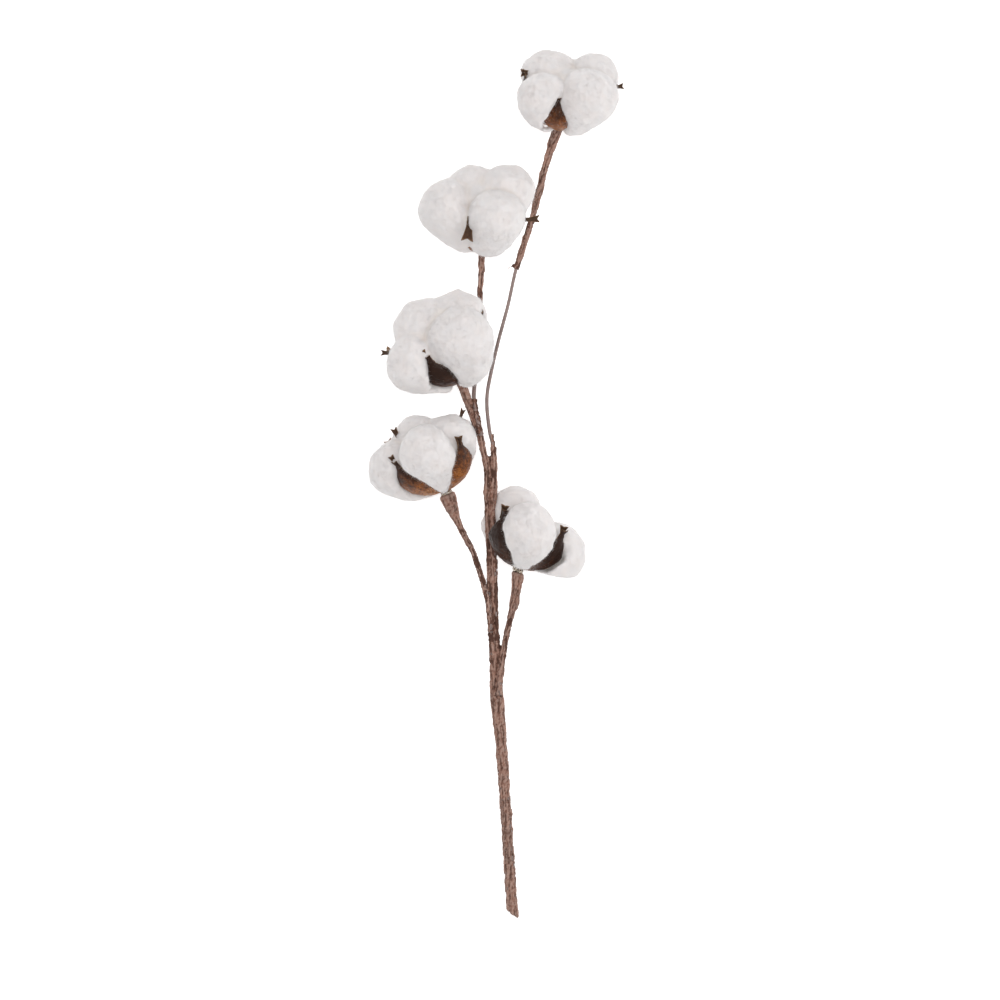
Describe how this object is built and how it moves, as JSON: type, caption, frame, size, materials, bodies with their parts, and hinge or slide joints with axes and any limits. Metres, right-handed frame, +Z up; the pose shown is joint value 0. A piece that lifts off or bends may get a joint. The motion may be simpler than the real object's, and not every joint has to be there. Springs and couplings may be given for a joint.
{
  "type": "cotton stem",
  "caption": "Dried cotton stem lying on a surface: open cotton bolls in brown burs, glued on wires that are bound with brown paper tape",
  "frame": {"origin": "centre of the bounding box in X and Y, on the surface it lies on (z = 0)", "axes": "+Y runs along the stem from its cut end to the top boll, +Z up from the surface, +X completes a right-handed frame"},
  "size_m": [0.1426, 0.5002, 0.0567],
  "materials": {
    "lint": "fluffy natural white cotton fibre",
    "bur": "dry dark brown husk with a slight gloss",
    "paper_tape": "crinkled brown floral paper tape, dull",
    "wire_coat": "grey-brown coated wire, satin",
    "hot_glue": "clear hot-melt glue, glossy"
  },
  "bodies": {
    "root": {"tape_bundle": "paper_tape", "tape_1": "paper_tape", "tape_2": "paper_tape", "wire_1": "wire_coat", "wire_2": "wire_coat", "wire_3": "wire_coat", "wire_4": "wire_coat", "wire_5": "wire_coat", "bur_1": "bur", "bur_2": "bur", "bur_3": "bur", "bur_4": "bur", "bur_5": "bur", "lint_1": "lint", "lint_2": "lint", "lint_3": "lint", "lint_4": "lint", "lint_5": "lint", "glue_1": "hot_glue", "glue_2": "hot_glue", "glue_3": "hot_glue", "glue_4": "hot_glue", "glue_5": "hot_glue"}
  },
  "joints": []
}
